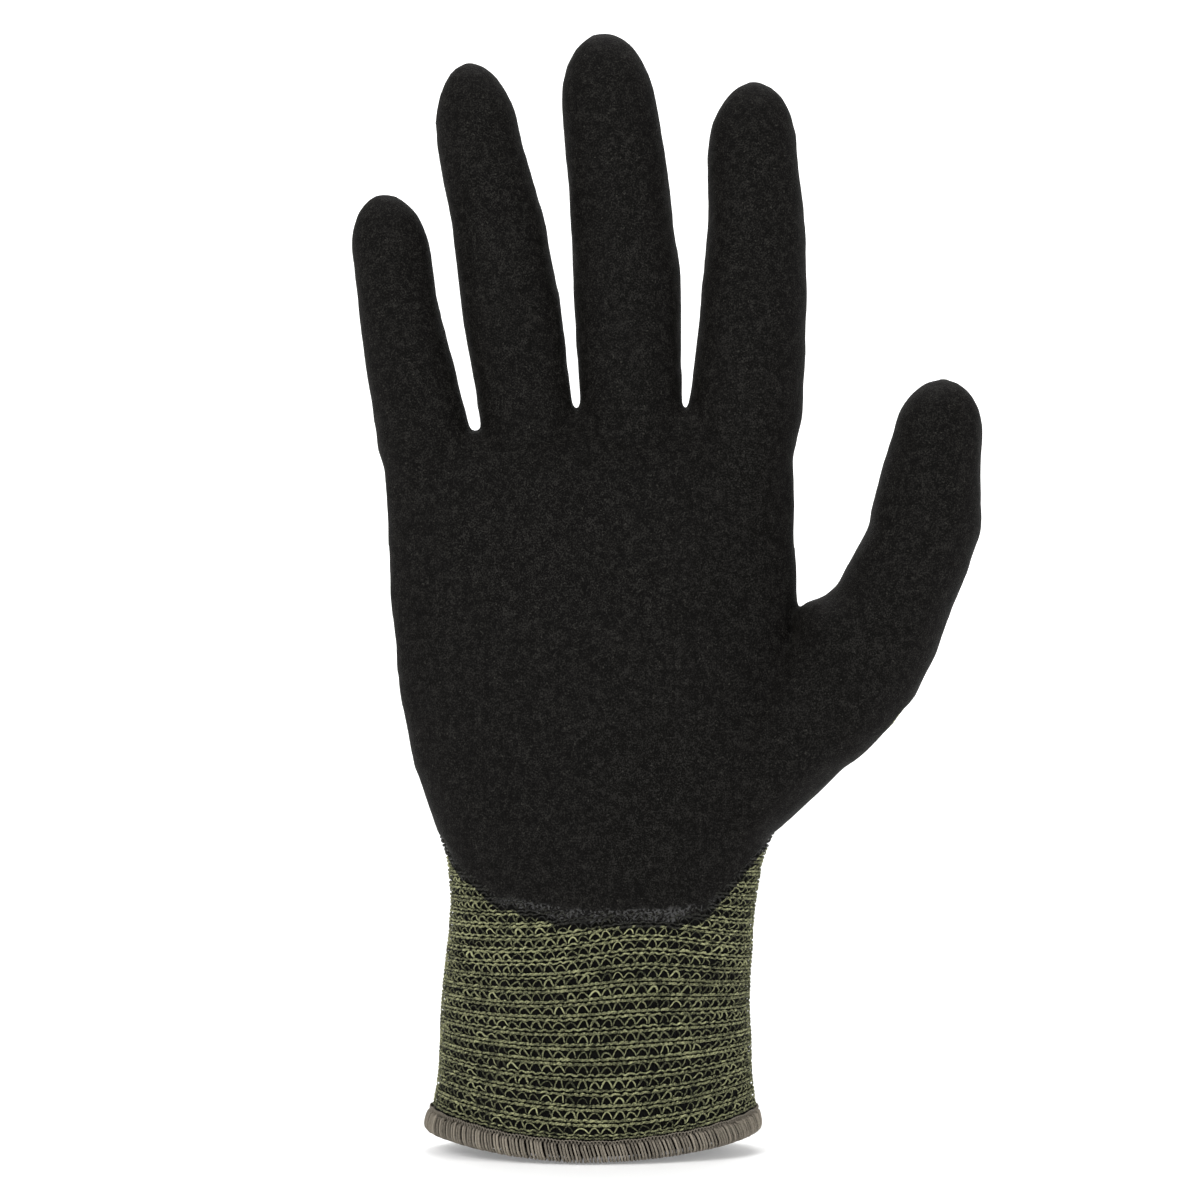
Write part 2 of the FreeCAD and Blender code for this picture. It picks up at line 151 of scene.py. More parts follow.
# Width and depth across each finger, in millimetres, at its crotch, at its middle joint and where its tip
# starts to round, then the tip's own length, and how far it bows sideways at those places.
FINGER_SHAPES = {
    "index": ((25.4, 20.8), (23.8, 20.6), (20.2, 17.6), 15.5, (1.1, 1.75, 0)),
    "middle": ((22.6, 20.2), (24.1, 21.2), (21.6, 19.0), 16.5, (0.2, 1.3, 0.3)),
    "ring": ((20.8, 19.0), (22.4, 20.0), (19.0, 17.0), 16.5, (0.3, 0.6, -0.6)),
    "little": ((21.2, 18.0), (19.2, 17.2), (17.6, 15.2), 13, (-1.2, -1.5, -0.8)),
}
ROOT_DISTANCE = 8       # the root's bend lies this far above the finger's crotch
limbs = {}
finger_lengths = {}
finger_bends = {}
forms = []
for finger in FINGERS:
    root, tip = joints[f"{finger}_root_bend"].copy(), joints[f"{finger}_tip_bend"].copy()
    root.y = tip.y = 0
    lean = math.atan2(tip.x - root.x, tip.z - root.z)
    base = root - (tip - root).normalized() * ROOT_DISTANCE * MM
    crotch, middle, end, dome, bow = FINGER_SHAPES[finger]
    limbs[finger] = Limb(base, lean, (crotch[0] + middle[0]) / 2)
    length = (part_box(f"{finger}_end_coating")[1].z - base.z) / math.cos(lean) / MM + 0.5
    finger_lengths[finger] = length
    bends = [(joints[f"{finger}_{part}_bend"] - joints[f"{finger}_root_bend"]).length / MM + ROOT_DISTANCE
             for part in ("middle", "tip")]
    finger_bends[finger] = bends
    waist = [(middle[i] + end[i]) / 2 - 0.3 for i in (0, 1)]
    stations = [(-18, crotch[0] - 4, crotch[1] - 3, 0), (0, *crotch, bow[0]), (bends[0], *middle, bow[1]),
                ((bends[0] + length - dome) / 2, *waist, bow[1]), (length - dome, *end, bow[2])]
    forms.append(limb(f"{finger}_form", base, lean, stations, dome))

# The thumb is already a little bent, so it is two forms, and the ball of the thumb leads up to them.
web = Vector((59.6, -4, 110.9)) * MM
knuckle = Vector((73.0, -4, 136.3)) * MM
thumb_lean, thumb_tip_lean = math.radians(28), math.radians(8.5)
limbs["thumb"] = Limb(web, thumb_lean, 29)
limbs["thumb_tip"] = Limb(knuckle, thumb_tip_lean, 25)
forms.append(limb("thumb_lower_form", web, thumb_lean,
                  [(-25, 16, 20, 2.6), (-14, 25, 27, 2.6), (-6, 30, 27.5, 1.2), (-2, 32.4, 27, -0.5),
                   (1, 31, 26.5, 0.1), (4, 28, 25.5, 1.5), (8, 25.8, 25, 2), (16, 24.8, 24, 1.5),
                   (24, 24.4, 23, 1.2)], 9))
forms.append(limb("thumb_end_form", knuckle, thumb_tip_lean,
                  [(-12, 15, 15, 0), (-5, 22.6, 21, 0.2), (1, 25, 22.8, 0.2), (8, 23, 21, 0), (15, 21, 19, 0),
                   (19.6, 20, 18.2, 0)], 12.6))
ball = Vector((26, -2, 62)) * MM
ball_lean = math.atan2(web.x - ball.x, web.z - ball.z)
ball_length = (web - ball).length / MM
forms.append(limb("thumb_ball_form", ball, ball_lean,
                  [(0, 12, 17, -1), (14, 18, 26, -1), (28, 24.4, 30, -0.8),
                   (ball_length - 8, 30, 28, 1)], 10))

# Level rings of the cuff and the palm: height, left edge, right edge and depth. The last two are the web
# between the three longer fingers, whose crotches are higher than the little finger's.
PALM_RINGS = (
    (-9, -37.8, 37.4, 51), (0, -37.6, 37.2, 50), (4, -37.0, 36.6, 49.5), (9, -35.7, 35.8, 48),
    (16, -34.9, 35.0, 47), (28, -34.5, 34.7, 46), (42, -33.1, 35.2, 44.5), (53, -31.9, 36.2, 42.5),
    (62, -32.8, 37.8, 40), (72, -36.0, 41.0, 37), (84, -40.2, 44.5, 34), (100, -43.4, 46.0, 31.5),
    (120, -45.2, 45.2, 29.5), (138, -46.2, 44.6, 28), (148, -46.8, 44.6, 26), (153, -45.4, 44.4, 21),
    (156, -42, 41, 15), (157, -14, 38, 14), (161.5, -12, 33, 12))
forms.append(ring_form("palm_form", PALM_RINGS))

VOXEL = 1.05            # the size of the blocks that melt the forms into one
UNEVEN = ((16, 0.9), (5, 0.25))     # the cloth's unevenness: how wide and how deep its swellings are
activate(forms[-1])
for form in forms:
    form.select_set(True)
bpy.ops.object.join()
former = bpy.context.object
former.name = "former"
modify(former, "REMESH", mode="VOXEL", voxel_size=VOXEL * MM)
modify(former, "SMOOTH", factor=0.6, iterations=9)
modify(former, "DISPLACE", strength=SLIM * MM, mid_level=0)
for size, strength in UNEVEN:
    uneven = bpy.data.textures.new("uneven_cloth", "CLOUDS")
    uneven.noise_scale = size * MM
    modify(former, "DISPLACE", texture=uneven, texture_coords="LOCAL", strength=strength * MM, mid_level=0.5)

# The cloth is cut into stretches, one for each bend of the hand inside. Every layer is cut along the
# same lines, so nothing shows at rest.
SEAM = 1.7              # the lowest cut, above the crotch
CUTS = {"index": (16.5, 37), "middle": (18, 41), "ring": (17, 39), "little": (14.25, 29)}
THUMB_CUT = Limb(Vector((67.5, -4, 126.5)) * MM, math.radians(23), 27)
THUMB_REACH = 16        # a point nearer than this to the thumb's middle line, or beyond it, is the thumb's


def nearest_finger(points):
    """The number of the finger whose column holds each point."""
    shares = []
    for finger in FINGERS:
        row = limbs[finger]
        bow = np.interp(row.distance(points), (0, finger_bends[finger][0]), FINGER_SHAPES[finger][4][:2])
        shares.append(abs(row.offset(points) - bow) / row.width)
    return np.argmin(shares, axis=0)


def is_thumb(points):
    thumb = limbs["thumb"]
    reach = THUMB_REACH + 0.25 * np.maximum(thumb.distance(points) - 10, 0)
    return (thumb.distance(points) > SEAM) & (thumb.offset(points) > -reach)


STRETCHES = ["hand"] + [f"{finger}_{part}" for finger in FINGERS for part in ("lower", "centre", "end")]
STRETCHES += ["thumb_lower", "thumb_end"]


def stretch_of(points):
    """The number of the stretch that each point belongs to."""
    found = np.zeros(len(points), int)
    nearest = nearest_finger(points)
    for number, finger in enumerate(FINGERS):
        along = limbs[finger].distance(points)
        inside = (nearest == number) & (along > SEAM)
        level = 1 + (along > CUTS[finger][0]) + (along > CUTS[finger][1])
        found[inside] = (3 * number + level)[inside]
    found[is_thumb(points)] = len(STRETCHES) - 2
    found[is_thumb(points) & (THUMB_CUT.distance(points) > 0)] = len(STRETCHES) - 1
    return found


mesh = bmesh.new()
mesh.from_mesh(former.data)
cuts = [(limbs[finger], distance, number) for number, finger in enumerate(FINGERS)
        for distance in (SEAM, *CUTS[finger])]
cuts += [(limbs["thumb"], SEAM, -1), (THUMB_CUT, 0, -1)]
for limb_cut, distance, number in cuts:
    centres = np.array([face.calc_center_median() for face in mesh.faces])
    near = abs(limb_cut.distance(centres) - distance) < 3
    if number >= 0:
        near &= (nearest_finger(centres) == number) & ~is_thumb(centres)
    else:
        near &= limb_cut.offset(centres) > -THUMB_REACH - 1
    faces = [face for face, wanted in zip(mesh.faces, near) if wanted]
    edges = {edge for face in faces for edge in face.edges}
    vertices = {vertex for face in faces for vertex in face.verts}
    bmesh.ops.bisect_plane(mesh, geom=[*faces, *edges, *vertices], dist=1e-6,
                           plane_co=Vector(limb_cut.at(distance)), plane_no=Vector(limb_cut.along))
bmesh.ops.remove_doubles(mesh, verts=mesh.verts, dist=0.1 * MM)
mesh.to_mesh(former.data)
mesh.free()
former_tree = BVHTree.FromObject(former, bpy.context.evaluated_depsgraph_get())
outside = np.array([vertex.co for vertex in former.data.vertices])
outward = np.array([vertex.normal for vertex in former.data.vertices])
all_faces = [tuple(face.vertices) for face in former.data.polygons]
bpy.data.objects.remove(former)


def wander(points, size, seed):
    """A smooth uneven value from -1 to 1 for each point; size is in millimetres."""
    shifted = points / MM / size
    a, b, c = shifted[:, 0], shifted[:, 1], shifted[:, 2]
    return (np.sin(2.1 * a + 0.7 * c + seed) + np.sin(1.7 * c - 1.3 * b + 2.6 * seed)
            + np.sin(1.1 * b + 2.9 * a - 0.8 * c + 4.1 * seed) + np.sin(3.7 * a + 2.3 * c + 5.7 * seed)) / 4


COAT_REACH = 3          # the coating wraps round the sides, this far past the middle
THUMB_SHOW = 11         # at the ball of the thumb it stays this much further forward, so the knit shows
# The dip's lower edge across the wrist, from the little finger's side to the thumb's: places and heights.
DIP_LINE = ((-34, -31, -28, -22.5, -17, -12, -6, 19, 24, 27, 32, 37, 40),
            (66.5, 61.2, 58, 54.4, 52.8, 51.8, 50, 50, 51.2, 54, 58.6, 64.2, 67))


def coated(points):
    """How far inside the dipped area each point lies, in millimetres; below 0 is bare knit."""
    x, y, z = (points / MM).T
    side = COAT_REACH - y + 0.5 * wander(points, 4, 1.3)
    side -= THUMB_SHOW * np.exp(-((z - 93) / 8) ** 2) * smoothstep(36, 44, x)
    nearest = nearest_finger(points)
    tip = np.full(len(points), -99.0)
    for number, finger in enumerate(FINGERS):
        reach = finger_lengths[finger] - FINGER_SHAPES[finger][3] - 3
        along = limbs[finger].distance(points) - reach
        tip = np.where((nearest == number) & (z > 150), along, tip)
    tip = np.where(is_thumb(points), limbs["thumb_tip"].distance(points) - 15, tip)
    dip = np.interp(x, *DIP_LINE) + 0.6 * wander(points, 3, 0.4) + 0.4 * wander(points, 1.2, 2.2)
    return np.minimum(np.maximum(side, tip + 0.6 * wander(points, 3, 3.1)), z - dip)


FEWEST_FACES = 60       # a smaller island of cloth is left out


def without_chips(faces):
    """Leaves out the loose islands of a few faces."""
    leader = {index: index for face in faces for index in face}

    def first_of(index):
        while leader[index] != index:
            leader[index] = leader[leader[index]]
            index = leader[index]
        return index

    for face in faces:
        for index in face[1:]:
            leader[first_of(index)] = first_of(face[0])
    counts = {}
    for face in faces:
        island = first_of(face[0])
        counts[island] = counts.get(island, 0) + 1
    return [face for face in faces if counts[first_of(face[0])] > FEWEST_FACES]


def trimmed(points, faces, inside):
    """Keeps the faces where inside(points) is above 0 and moves their ragged edge onto its zero line."""
    points = points.copy()
    values = inside(points)
    kept = without_chips([face for face in faces if sum(values[list(face)]) / len(face) > 0])
    uses = {}
    for face in kept:
        for pair in zip(face, face[1:] + face[:1]):
            uses[frozenset(pair)] = uses.get(frozenset(pair), 0) + 1
    rim = sorted({index for pair, count in uses.items() if count == 1 for index in pair})
    for _ in range(3):
        at = points[rim]
        value = inside(at)
        slope = np.stack([(inside(at + np.eye(3)[i] * 0.2 * MM) - value) / 0.2 for i in range(3)], axis=1)
        step = -value[:, None] * slope / np.maximum((slope ** 2).sum(axis=1), 0.2)[:, None]
        at = at + np.clip(step, -1.2, 1.2) * MM
        points[rim] = [former_tree.find_nearest(Vector(point))[0] for point in at]
    return points, kept


def smoothstep(low, high, value):
    share = np.clip((value - low) / (high - low), 0, 1)
    return share * share * (3 - 2 * share)


def store(piece, name, values):
    """Stores one number, or three, for each vertex, for the shader to read."""
    kind, field = ("FLOAT", "value") if values.ndim == 1 else ("FLOAT_VECTOR", "vector")
    piece.data.attributes.new(name, kind, "POINT").data.foreach_set(field, values.astype(np.float32).ravel())


def cloth(prefix, points, faces, thickness, material, stored):
    """One layer of cloth as a piece for each stretch, given its thickness inwards."""
    centres = np.array([points[list(face)].mean(axis=0) for face in faces])
    stretches = stretch_of(centres)
    made = {}
    for number, stretch in enumerate(STRETCHES):
        chosen = [face for face, where in zip(faces, stretches) if where == number]
        if not chosen:
            continue
        used = sorted({index for face in chosen for index in face})
        renumbered = {index: order for order, index in enumerate(used)}
        data = bpy.data.meshes.new(f"{prefix}_{stretch}")
        data.from_pydata([tuple(points[index]) for index in used], [],
                         [tuple(renumbered[index] for index in face) for face in chosen])
        piece = bpy.data.objects.new(f"{prefix}_{stretch}", data)
        bpy.context.collection.objects.link(piece)
        for name, values in stored.items():
            store(piece, name, values[used])
        piece.data.materials.append(material)
        modify(piece, "SOLIDIFY", thickness=thickness * MM, offset=-1)
        activate(piece)
        bpy.ops.object.shade_smooth_by_angle(angle=math.radians(50))
        made[stretch] = piece
    return made


def hang(piece, stretch):
    """Bakes a stretch of cloth's placement into its mesh."""
    if stretch == "hand":
        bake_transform(piece)
        return
    limb_name, part = stretch.split("_")
    if limb_name == "thumb":
        if part == "lower":
            limbs["thumb"].at(2)
            limbs["thumb"].at(15)
            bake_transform(piece)
        else:
            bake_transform(piece)
        return
    row = limbs[limb_name]
    near, far = finger_bends[limb_name]
    top, spread = (14, 6) if limb_name == "little" else (15.5, 7.5)
    first, second, around = {
        "lower": ("hand", f"{limb_name}_lower", (2, top)),
        "centre": (f"{limb_name}_lower", f"{limb_name}_centre", (near - spread, near + spread)),
        "end": (f"{limb_name}_centre", f"{limb_name}_end", (far - 5.8, far + 5.8)),
    }[part]
    row.at(around[0])
    row.at(around[1])
    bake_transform(piece)


# ============================================================ The knitted liner
# One seamless knitted liner of cut resistant yarn, plain stitch over the hand and fingers. It is the
# innermost layer; it shows on the back of the hand and, dark between the cuff's yarns, under the cuff.


def add(tree, kind, values=(), **settings):
    """Adds a node; values are pairs of an input and either its value or the socket it comes from."""
    made = tree.nodes.new(kind)
    for name, value in settings.items():
        setattr(made, name, value)
    for key, value in values:
        if isinstance(value, bpy.types.NodeSocket):
            tree.links.new(value, made.inputs[key])
        else:
            made.inputs[key].default_value = value
    return made


def calculate(tree, operation, *values, clamp=False):
    return add(tree, "ShaderNodeMath", list(enumerate(values)),
               operation=operation, use_clamp=clamp).outputs[0]


def between(tree, value, low, high, bottom=0.0, top=1.0):
    """Maps a value from low..high to bottom..top, smoothly and clamped."""
    return add(tree, "ShaderNodeMapRange", [(0, value), (1, low), (2, high), (3, bottom), (4, top)],
               interpolation_type="SMOOTHSTEP").outputs[0]


def grain(tree, vector, scale, detail=2.0, rough=0.5):
    return add(tree, "ShaderNodeTexNoise",
               [("Vector", vector), ("Scale", scale), ("Detail", detail),
                ("Roughness", rough)]).outputs["Fac"]


def blended(tree, share, first, second):
    made = add(tree, "ShaderNodeMix", data_type="RGBA")
    for key, value in (("Factor_Float", share), ("A_Color", first), ("B_Color", second)):
        plug = next(item for item in made.inputs if item.identifier == key)
        if isinstance(value, bpy.types.NodeSocket):
            tree.links.new(value, plug)
        else:
            plug.default_value = value
    return next(item for item in made.outputs if item.identifier == "Result_Color")


def material_start(name):
    made = bpy.data.materials.new(name)
    made.use_nodes = True
    return made, made.node_tree, made.node_tree.nodes["Principled BSDF"]


def plug(tree, shader, **sources):
    """Links sockets to the shader's inputs, or sets them."""
    for name, value in sources.items():
        key = name.replace("_", " ")
        if isinstance(value, bpy.types.NodeSocket):
            tree.links.new(value, shader.inputs[key])
        else:
            shader.inputs[key].default_value = value


def group_start(name, inputs, outputs):
    made = bpy.data.node_groups.new(name, "ShaderNodeTree")
    for side, sockets in (("INPUT", inputs), ("OUTPUT", outputs)):
        for label, kind in sockets:
            made.interface.new_socket(label, in_out=side, socket_type=f"NodeSocket{kind}")
    return made, made.nodes.new("NodeGroupInput").outputs, made.nodes.new("NodeGroupOutput").inputs


OLIVE_BRIGHT = (0.44, 0.45, 0.240, 1)
OLIVE_MID = (0.020, 0.0217, 0.0115, 1)
# The darkest olive is painted shade: in the gaps between the liner's loops and between the cuff yarn's
# filaments.
OLIVE_PAINTED_SHADE = (0.004, 0.0045, 0.003, 1)

# Plain stitch: columns of V-shaped loops, from a vector of millimetres across and along the cloth.
stitch, taken, given = group_start("plain_stitch", [("Place", "Vector")],
                                   [("Height", "Float"), ("Tone", "Float")])
STITCH_WIDTH, STITCH_HEIGHT = 1.35, 1.05
parts = add(stitch, "ShaderNodeSeparateXYZ", [(0, taken["Place"])]).outputs
drift = calculate(stitch, "MULTIPLY", grain(stitch, taken["Place"], 0.35), 0.8)
across = calculate(stitch, "DIVIDE", calculate(stitch, "ADD", parts[0], drift), STITCH_WIDTH)
leg = calculate(stitch, "ABSOLUTE", calculate(stitch, "SUBTRACT", calculate(stitch, "FRACT", across), 0.5))
rise = calculate(stitch, "MULTIPLY_ADD", leg, 1.7, calculate(stitch, "DIVIDE", parts[1], STITCH_HEIGHT))
turn = calculate(stitch, "SUBTRACT", calculate(stitch, "FRACT", rise), 0.5)
beside = calculate(stitch, "MULTIPLY", calculate(stitch, "SUBTRACT", leg, 0.25), 3.9)
far = calculate(stitch, "ADD", calculate(stitch, "POWER", calculate(stitch, "MULTIPLY", turn, 2.0), 2.0),
                calculate(stitch, "POWER", beside, 2.0))
loop = calculate(stitch, "SQRT", calculate(stitch, "SUBTRACT", 1.0, far, clamp=True))
fibres = grain(stitch, add(stitch, "ShaderNodeVectorMath", [(0, taken["Place"]), (1, (9, 3.2, 9))],
                           operation="MULTIPLY").outputs[0], 1.0, 3.0)
stitch.links.new(calculate(stitch, "MULTIPLY_ADD", fibres, 0.25, loop), given["Height"])
each = add(stitch, "ShaderNodeTexWhiteNoise", [
    ("Vector", add(stitch, "ShaderNodeCombineXYZ", [
        (0, calculate(stitch, "FLOOR", calculate(stitch, "MULTIPLY", across, 2.0))),
        (1, calculate(stitch, "FLOOR", rise))]).outputs[0])], noise_dimensions="2D").outputs["Value"]
stitch.links.new(calculate(stitch, "MULTIPLY_ADD", calculate(stitch, "MULTIPLY", each, fibres), 1.1,
                           calculate(stitch, "MULTIPLY", fibres, 0.5)), given["Tone"])

knit, tree, shader = material_start("knit")
place = add(tree, "ShaderNodeAttribute", attribute_name="place").outputs["Vector"]
cuff_share = add(tree, "ShaderNodeAttribute", attribute_name="cuff").outputs["Fac"]
made = add(tree, "ShaderNodeGroup", node_tree=stitch)
tree.links.new(place, made.inputs["Place"])
loops = between(tree, made.outputs["Height"], 0.25, 0.95)
yarn_colour = blended(tree, between(tree, made.outputs["Tone"], 0.15, 1.0), OLIVE_MID, OLIVE_BRIGHT)
# Between the loops the colour falls to the darkest olive: painted shade in the gaps between the stitches.
cloth_with_gap_shade = blended(tree, loops, OLIVE_PAINTED_SHADE, yarn_colour)
UNDER_CUFF = (0.0022, 0.0024, 0.0018, 1)
plug(tree, shader, Base_Color=blended(tree, cuff_share, cloth_with_gap_shade, UNDER_CUFF), Roughness=0.85)
shader.inputs["Sheen Weight"].default_value = 0.02
shader.inputs["Specular IOR Level"].default_value = 0.08
plug(tree, shader, Normal=add(tree, "ShaderNodeBump", [
    ("Strength", 0.9), ("Distance", 0.35 * MM), ("Height", made.outputs["Height"])]).outputs[0])

HEM_DROP, HEM_LEVEL, HEM_BOW = 4.1, 3.0, 2.1   # the hem hangs lower in front than at the sides


def hem_level(points):
    """The height of the hem's lower edge, in millimetres, above or below each point."""
    y = points[:, 1] / MM
    return HEM_LEVEL - HEM_DROP * np.clip(-y / 25, 0, 1) ** HEM_BOW + 0.05 * np.clip(y, 0, 25)


COAT = 0.65             # the coating's thickness over the knit
CUFF_TOP = 68           # the cuff's yarns end here and plain stitch begins
in_cuff = smoothstep(CUFF_TOP, CUFF_TOP - 3, outside[:, 2] / MM)
liner_outside = outside - outward * ((COAT + 0.25 * in_cuff) * MM)[:, None]


def along_cloth(points):
    """Millimetres across and along the cloth for each point, measured round each limb from its back."""
    y = points[:, 1] / MM
    x, z = points[:, 0] / MM - 1, points[:, 2] / MM
    place = np.stack([x, z, np.zeros_like(x)], axis=1)
    heights = np.arange(-10, 170, 4)
    for side in (-1, 1):
        edges = [max((side * x)[abs(z - height) < 4], default=40) for height in heights]
        turn_start = np.interp(z, heights, edges) - 14
        beyond = side * x > turn_start
        turned = side * (turn_start + 14 * np.arctan2(side * x - turn_start, np.maximum(y, -3) + 4))
        place[beyond, 0] = turned[beyond]
    stretch = stretch_of(points)
    for number, finger in enumerate(FINGERS):
        row = limbs[finger]
        mine = (stretch > 3 * number) & (stretch <= 3 * number + 3)
        turned = np.arctan2(row.offset(points), y + 0.01) * 10
        place[mine] = np.stack([turned, row.distance(points), np.full_like(x, number)], axis=1)[mine]
    mine = stretch >= len(STRETCHES) - 2
    turned = np.arctan2(limbs["thumb"].offset(points), y + 4) * 12
    place[mine] = np.stack([turned, limbs["thumb"].distance(points), np.full_like(x, 5)], axis=1)[mine]
    return place


LINER_THICK = 1.0
RAW_EDGE = 0.8          # the knit's raw edge lies this far inside the hem
liner_points, liner_faces = trimmed(outside, all_faces,
                                    lambda points: points[:, 2] / MM - hem_level(points) - RAW_EDGE)
liner_points = liner_points + (liner_outside - outside)
liner = cloth("liner", liner_points, liner_faces, LINER_THICK, knit,
              {"place": along_cloth(outside), "cuff": in_cuff})
for stretch, piece in liner.items():
    hang(piece, stretch)
    if stretch == "hand":
        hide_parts("cuff_knit", "wrist_fold", "hand_knit")
    else:
        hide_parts(f"{stretch}_knit")

# ============================================================ The cuff's yarns
# Above the hem the liner is a ribbed cuff: two thick bars of olive yarn, then a row of open arches where the
# black yarn behind shows through. Each strand is laid as its own tube on the cuff's surface.

COLUMNS = 720           # points round the cuff's grid
LEVELS = np.arange(-4.0, 78.0, 1.0)
WALES = 70              # arches round the cuff
ROW = 3.1               # one repeat, in millimetres
turns = np.linspace(0, 2 * math.pi, COLUMNS, endpoint=False)
sleeve = np.zeros((len(LEVELS), COLUMNS, 3))
for row_number, level in enumerate(LEVELS):
    centre = Vector((1, 0, level)) * MM
    for column, turn in enumerate(turns):
        hit = former_tree.ray_cast(centre, Vector((math.cos(turn), math.sin(turn), 0)))[0]
        sleeve[row_number, column] = hit
widths = np.linalg.norm(np.roll(sleeve[30], -1, axis=0) - sleeve[30], axis=1)
lengths = np.concatenate([[0], np.cumsum(widths)])
evenly = np.interp(np.linspace(0, lengths[-1], COLUMNS, endpoint=False), lengths, np.arange(COLUMNS + 1))
whole, part = evenly.astype(int) % COLUMNS, (evenly % 1)[None, :, None]
sleeve = sleeve[:, whole] * (1 - part) + sleeve[:, (whole + 1) % COLUMNS] * part
around = np.roll(sleeve, -2, axis=1) - np.roll(sleeve, 2, axis=1)
upward = np.gradient(sleeve, axis=0)
facing = np.cross(around, upward)
facing /= np.linalg.norm(facing, axis=2, keepdims=True)


def look_up(grid, level, column):
    """The grid's value at fractional levels and columns."""
    level = np.clip(level - LEVELS[0], 0, len(LEVELS) - 1.001)
    column = column % COLUMNS
    low, left = level.astype(int), column.astype(int)
    up, right = (level - low)[..., None], (column - left)[..., None]
    next_left = (left + 1) % COLUMNS
    left %= COLUMNS
    return ((grid[low, left] * (1 - right) + grid[low, next_left] * right) * (1 - up)
            + (grid[low + 1, left] * (1 - right) + grid[low + 1, next_left] * right) * up)


COURSE_ARCH = 3.4       # the courses rise this much in the middle of the wrist, below the coating


def on_cuff(wale, course, height):
    """Points on the cuff and the way out from it. wale counts arches round it, course is millimetres up the
    cloth from the hem, and height is millimetres above the surface."""
    column = wale / WALES * COLUMNS
    rough = look_up(sleeve, HEM_LEVEL + 0.863 * course, column) / MM
    front = np.clip(-rough[..., 1] / 25, 0, 1)
    drop = np.interp(course, [0, 8, 25, 45], [HEM_DROP, 5.4, 2.5, 0]) * front ** HEM_BOW
    arch = COURSE_ARCH * np.exp(-((rough[..., 0] - 11) / 17) ** 2)
    arch = arch * smoothstep(12, 52, course) * smoothstep(0, 0.6, front)
    level = HEM_LEVEL + 0.863 * course - drop + arch + 0.05 * np.clip(rough[..., 1], 0, 25) * (course < 60)
    place, out = look_up(sleeve, level, column), look_up(facing, level, column)
    return place + out * (height * MM)[..., None], out


def strands(name, centres, outs, radii, flat, closed, twist, material, stored, sides=5):
    """Tubes along centres[strand, step]: radii is in millimetres, flat is their depth against their width."""
    count, steps = centres.shape[:2]
    if closed:
        ahead = np.roll(centres, -1, axis=1) - np.roll(centres, 1, axis=1)
    else:
        ahead = np.gradient(centres, axis=1)
    ahead /= np.maximum(np.linalg.norm(ahead, axis=2, keepdims=True), 1e-9)
    sideways = np.cross(ahead, outs)
    sideways /= np.maximum(np.linalg.norm(sideways, axis=2, keepdims=True), 1e-9)
    outs = np.cross(sideways, ahead)
    turn = np.linspace(0, 2 * math.pi, sides, endpoint=False)
    reach = (radii * MM)[..., None, None]
    ring = (centres[:, :, None] + reach * (np.cos(turn)[:, None] * outs[:, :, None] * flat
                                           + np.sin(turn)[:, None] * sideways[:, :, None]))
    step_lengths = np.linalg.norm(np.diff(centres, axis=1), axis=2) / MM
    along = np.concatenate([np.zeros((count, 1)), np.cumsum(step_lengths, axis=1)], axis=1)
    along = along + np.arange(count)[:, None] * 7.3
    turned = turn + along[..., None] * twist
    fibre = np.stack([np.broadcast_to(along[..., None], turned.shape),
                      np.cos(turned), np.sin(turned)], axis=-1)
    index = np.arange(count * steps * sides).reshape(count, steps, sides)
    last = steps if closed else steps - 1
    near, far = index[:, np.arange(last)], index[:, (np.arange(last) + 1) % steps]
    quads = np.stack([near, np.roll(near, -1, axis=2), np.roll(far, -1, axis=2), far], axis=-1)
    hidden = stored.pop("hidden", None)
    if hidden is not None:
        keep = ~(hidden[:, np.arange(last)] & hidden[:, (np.arange(last) + 1) % steps])
        quads = quads[keep]
    faces = quads.reshape(-1, 4)[:, ::-1]
    used, faces = np.unique(faces, return_inverse=True)
    faces = faces.reshape(-1, 4)
    data = bpy.data.meshes.new(name)
    data.from_pydata(ring.reshape(-1, 3)[used].tolist(), [], faces.tolist())
    piece = bpy.data.objects.new(name, data)
    bpy.context.collection.objects.link(piece)
    store(piece, "fibre", fibre.reshape(-1, 3)[used])
    for label, values in stored.items():
        spread = np.broadcast_to(values[..., None], (count, steps, sides)).reshape(-1)
        store(piece, label, spread[used])
    data.materials.append(material)
    activate(piece)
    bpy.ops.object.shade_smooth()
    return piece


# Twisted filaments, from the fibre vector: millimetres along the yarn and the turn round it.
twisted, taken, given = group_start("twisted_filaments", [("Fibre", "Vector"), ("Fineness", "Float")],
                                    [("Streaks", "Float"), ("Clumps", "Float")])
squeezed = add(twisted, "ShaderNodeVectorMath", [(0, taken["Fibre"]), (1, (0.42, 1, 1))],
               operation="MULTIPLY").outputs[0]
twisted.links.new(grain(twisted, squeezed, taken["Fineness"], 3.0, 0.6), given["Streaks"])
twisted.links.new(grain(twisted, taken["Fibre"], 0.9, 2.0), given["Clumps"])

yarn, tree, shader = material_start("cuff_yarn")
fibre = add(tree, "ShaderNodeAttribute", attribute_name="fibre").outputs["Vector"]
tone = add(tree, "ShaderNodeAttribute", attribute_name="tone").outputs["Fac"]
wet = add(tree, "ShaderNodeAttribute", attribute_name="wet").outputs["Fac"]
made = add(tree, "ShaderNodeGroup", node_tree=twisted)
tree.links.new(fibre, made.inputs["Fibre"])
made.inputs["Fineness"].default_value = 3.4
